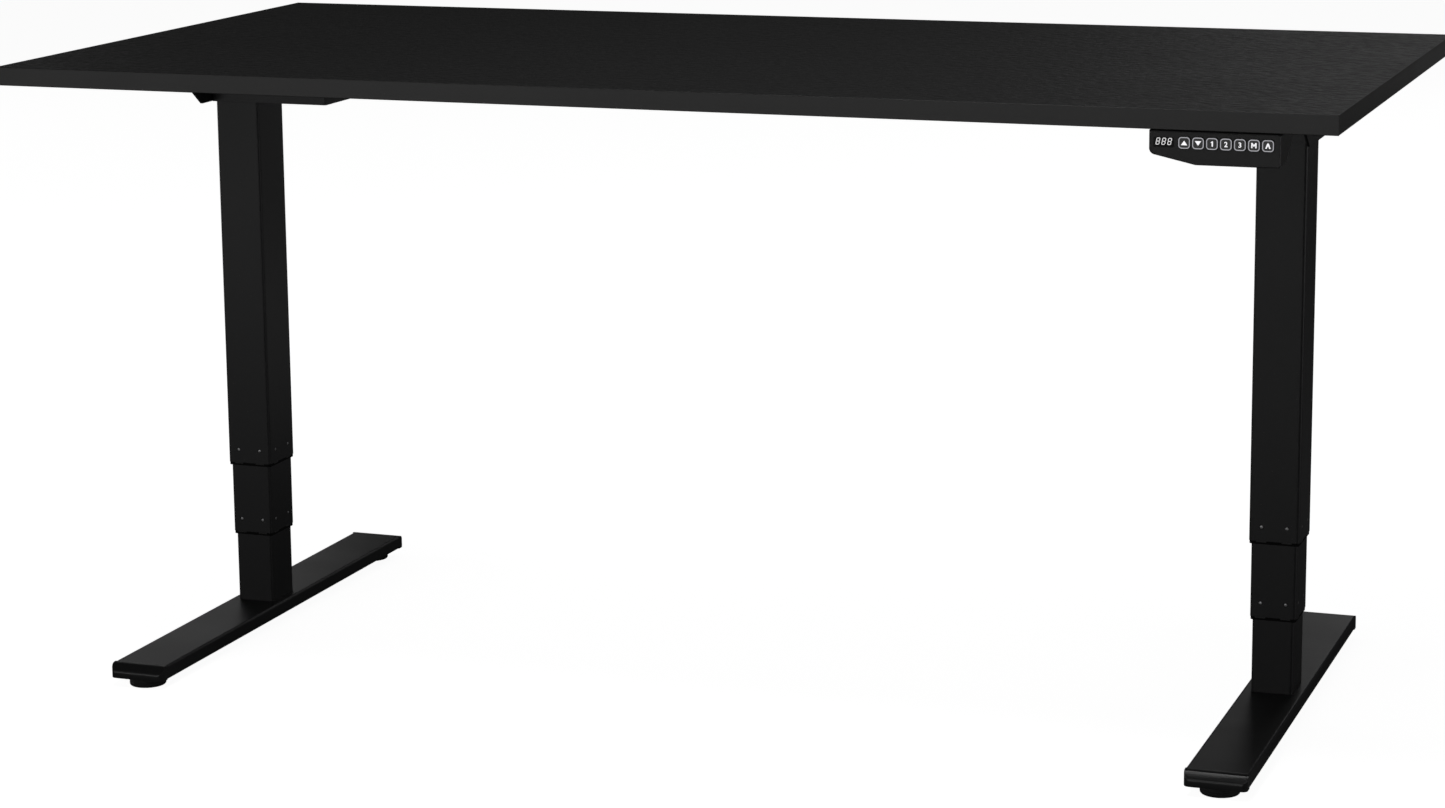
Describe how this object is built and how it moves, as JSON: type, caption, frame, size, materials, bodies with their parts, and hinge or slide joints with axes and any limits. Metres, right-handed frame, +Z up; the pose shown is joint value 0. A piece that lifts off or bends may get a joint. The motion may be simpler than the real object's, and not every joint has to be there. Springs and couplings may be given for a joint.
{
  "type": "height adjustable desk",
  "caption": "Electric sit-stand desk: a rectangular board on a steel frame with three-stage telescopic columns, flat feet with levelling pads, and a handset with push keys.",
  "frame": {"origin": "on the floor, under the middle of the board", "axes": "+X along the board's length to the user's right, +Y from the user to the rear, +Z up"},
  "size_m": [1.6, 0.8, 0.772],
  "materials": {
    "board": "black melamine laminate with a fine grain",
    "edge_band": "smooth satin",
    "powder_coat": "satin black powder coat with a fine texture",
    "fastener_steel": "black zinc",
    "screw_steel": "ground and oiled",
    "glide_plastic": "moulded",
    "nut_plastic": "moulded, natural colour",
    "gearbox_case": "moulded",
    "motor_can": "satin",
    "cap_plastic": "moulded, fine sheen",
    "pad_rubber": "matt",
    "handset_shell": "moulded, fine spark texture",
    "handset_panel": "satin printed sheet",
    "display": "smoked, glossy",
    "key": "satin with pale print",
    "circuit": "green solder resist",
    "box_plastic": "moulded, fine spark texture"
  },
  "bodies": {
    "base": {"foot_caps": "cap_plastic", "column_base_plates": "powder_coat", "foot_fasteners": "fastener_steel", "left_foot_beam": "powder_coat", "left_inner_tube": "powder_coat", "left_lower_nut": "nut_plastic", "right_foot_beam": "powder_coat", "right_inner_tube": "powder_coat", "right_lower_nut": "nut_plastic"},
    "upper": {"desktop_board": "board", "desktop_edge_band": "edge_band", "desktop_screws": "fastener_steel", "frame_bolts": "fastener_steel", "front_rail": "powder_coat", "rear_rail": "powder_coat", "handset_housing": "handset_shell", "handset_panel": "handset_panel", "handset_circuit": "circuit", "display_window": "display", "control_box_case": "box_plastic", "control_box_lid": "box_plastic", "left_support_arm": "powder_coat", "left_column_head": "powder_coat", "left_outer_tube": "powder_coat", "left_outer_glides": "glide_plastic", "left_motor": "motor_can", "left_gearbox": "gearbox_case", "right_support_arm": "powder_coat", "right_column_head": "powder_coat", "right_outer_tube": "powder_coat", "right_outer_glides": "glide_plastic", "right_motor": "motor_can", "right_gearbox": "gearbox_case"},
    "left_middle": {"left_middle_tube": "powder_coat", "left_middle_glides": "glide_plastic", "left_upper_nut": "nut_plastic"},
    "left_upper_screw": {"left_upper_screw": "screw_steel"},
    "left_lower_screw": {"left_lower_screw": "screw_steel"},
    "left_worm": {"left_worm": "screw_steel"},
    "left_front_pad": {"left_front_leveller_pad": "pad_rubber"},
    "left_front_stud": {"left_front_leveller_stud": "screw_steel"},
    "left_rear_pad": {"left_rear_leveller_pad": "pad_rubber"},
    "left_rear_stud": {"left_rear_leveller_stud": "screw_steel"},
    "right_middle": {"right_middle_tube": "powder_coat", "right_middle_glides": "glide_plastic", "right_upper_nut": "nut_plastic"},
    "right_upper_screw": {"right_upper_screw": "screw_steel"},
    "right_lower_screw": {"right_lower_screw": "screw_steel"},
    "right_worm": {"right_worm": "screw_steel"},
    "right_front_pad": {"right_front_leveller_pad": "pad_rubber"},
    "right_front_stud": {"right_front_leveller_stud": "screw_steel"},
    "right_rear_pad": {"right_rear_leveller_pad": "pad_rubber"},
    "right_rear_stud": {"right_rear_leveller_stud": "screw_steel"},
    "key_up": {"key_up": "key"},
    "key_down": {"key_down": "key"},
    "key_1": {"key_1": "key"},
    "key_2": {"key_2": "key"},
    "key_3": {"key_3": "key"},
    "key_memory": {"key_memory": "key"},
    "key_alarm": {"key_alarm": "key"}
  },
  "joints": [
    {"name": "lift", "type": "slide", "parent": "base", "child": "upper", "axis": [0, 0, 1], "range_m": [-0.17, 0.48]},
    {"name": "left_middle_slide", "type": "slide", "parent": "base", "child": "left_middle", "axis": [0, 0, 1], "range_m": [-0.0855, 0.2405]},
    {"name": "left_upper_screw_turn", "type": "hinge", "parent": "upper", "child": "left_upper_screw", "pos_m": [-0.672, 0, 0.72], "axis": [0, 0, 1], "range_deg": [-5101, 14401]},
    {"name": "left_lower_screw_turn", "type": "hinge", "parent": "left_middle", "child": "left_lower_screw", "pos_m": [-0.672, 0, 0.57], "axis": [0, 0, 1], "range_deg": [-5101, 14401]},
    {"name": "left_worm_turn", "type": "hinge", "parent": "upper", "child": "left_worm", "pos_m": [-0.672, 0.0163, 0.722], "axis": [1, 0, 0], "range_deg": [-122401, 345601]},
    {"name": "right_middle_slide", "type": "slide", "parent": "base", "child": "right_middle", "axis": [0, 0, 1], "range_m": [-0.0855, 0.2405]},
    {"name": "right_upper_screw_turn", "type": "hinge", "parent": "upper", "child": "right_upper_screw", "pos_m": [0.672, 0, 0.72], "axis": [0, 0, 1], "range_deg": [-5101, 14401]},
    {"name": "right_lower_screw_turn", "type": "hinge", "parent": "right_middle", "child": "right_lower_screw", "pos_m": [0.672, 0, 0.57], "axis": [0, 0, 1], "range_deg": [-5101, 14401]},
    {"name": "right_worm_turn", "type": "hinge", "parent": "upper", "child": "right_worm", "pos_m": [0.672, 0.0163, 0.722], "axis": [1, 0, 0], "range_deg": [-122401, 345601]},
    {"name": "left_front_leveller", "type": "slide", "parent": "base", "child": "left_front_pad", "axis": [0, 0, -1], "range_m": [0, 0.008]},
    {"name": "left_front_stud_turn", "type": "hinge", "parent": "left_front_pad", "child": "left_front_stud", "pos_m": [-0.672, -0.321, 0.005], "axis": [0, 0, 1], "range_deg": [-1, 2305]},
    {"name": "left_rear_leveller", "type": "slide", "parent": "base", "child": "left_rear_pad", "axis": [0, 0, -1], "range_m": [0, 0.008]},
    {"name": "left_rear_stud_turn", "type": "hinge", "parent": "left_rear_pad", "child": "left_rear_stud", "pos_m": [-0.672, 0.321, 0.005], "axis": [0, 0, 1], "range_deg": [-1, 2305]},
    {"name": "right_front_leveller", "type": "slide", "parent": "base", "child": "right_front_pad", "axis": [0, 0, -1], "range_m": [0, 0.008]},
    {"name": "right_front_stud_turn", "type": "hinge", "parent": "right_front_pad", "child": "right_front_stud", "pos_m": [0.672, -0.321, 0.005], "axis": [0, 0, 1], "range_deg": [-1, 2305]},
    {"name": "right_rear_leveller", "type": "slide", "parent": "base", "child": "right_rear_pad", "axis": [0, 0, -1], "range_m": [0, 0.008]},
    {"name": "right_rear_stud_turn", "type": "hinge", "parent": "right_rear_pad", "child": "right_rear_stud", "pos_m": [0.672, 0.321, 0.005], "axis": [0, 0, 1], "range_deg": [-1, 2305]},
    {"name": "key_up_press", "type": "slide", "parent": "upper", "child": "key_up", "axis": [0, 1, 0], "range_m": [0, 0.0008], "stiffness_N_per_m": 2500, "springref_m": -0.0002},
    {"name": "key_down_press", "type": "slide", "parent": "upper", "child": "key_down", "axis": [0, 1, 0], "range_m": [0, 0.0008], "stiffness_N_per_m": 2500, "springref_m": -0.0002},
    {"name": "key_1_press", "type": "slide", "parent": "upper", "child": "key_1", "axis": [0, 1, 0], "range_m": [0, 0.0008], "stiffness_N_per_m": 2500, "springref_m": -0.0002},
    {"name": "key_2_press", "type": "slide", "parent": "upper", "child": "key_2", "axis": [0, 1, 0], "range_m": [0, 0.0008], "stiffness_N_per_m": 2500, "springref_m": -0.0002},
    {"name": "key_3_press", "type": "slide", "parent": "upper", "child": "key_3", "axis": [0, 1, 0], "range_m": [0, 0.0008], "stiffness_N_per_m": 2500, "springref_m": -0.0002},
    {"name": "key_memory_press", "type": "slide", "parent": "upper", "child": "key_memory", "axis": [0, 1, 0], "range_m": [0, 0.0008], "stiffness_N_per_m": 2500, "springref_m": -0.0002},
    {"name": "key_alarm_press", "type": "slide", "parent": "upper", "child": "key_alarm", "axis": [0, 1, 0], "range_m": [0, 0.0008], "stiffness_N_per_m": 2500, "springref_m": -0.0002}
  ],
  "couplings": [
    {"joint": "left_middle_slide", "follows": "lift", "ratio": 0.5},
    {"joint": "left_upper_screw_turn", "follows": "lift", "rad_per_m": 523.6},
    {"joint": "left_lower_screw_turn", "follows": "lift", "rad_per_m": 523.6},
    {"joint": "left_worm_turn", "follows": "lift", "rad_per_m": 12566},
    {"joint": "right_middle_slide", "follows": "lift", "ratio": 0.5},
    {"joint": "right_upper_screw_turn", "follows": "lift", "rad_per_m": 523.6},
    {"joint": "right_lower_screw_turn", "follows": "lift", "rad_per_m": 523.6},
    {"joint": "right_worm_turn", "follows": "lift", "rad_per_m": 12566},
    {"joint": "left_front_stud_turn", "follows": "left_front_leveller", "rad_per_m": 5026.5},
    {"joint": "left_rear_stud_turn", "follows": "left_rear_leveller", "rad_per_m": 5026.5},
    {"joint": "right_front_stud_turn", "follows": "right_front_leveller", "rad_per_m": 5026.5},
    {"joint": "right_rear_stud_turn", "follows": "right_rear_leveller", "rad_per_m": 5026.5}
  ]
}
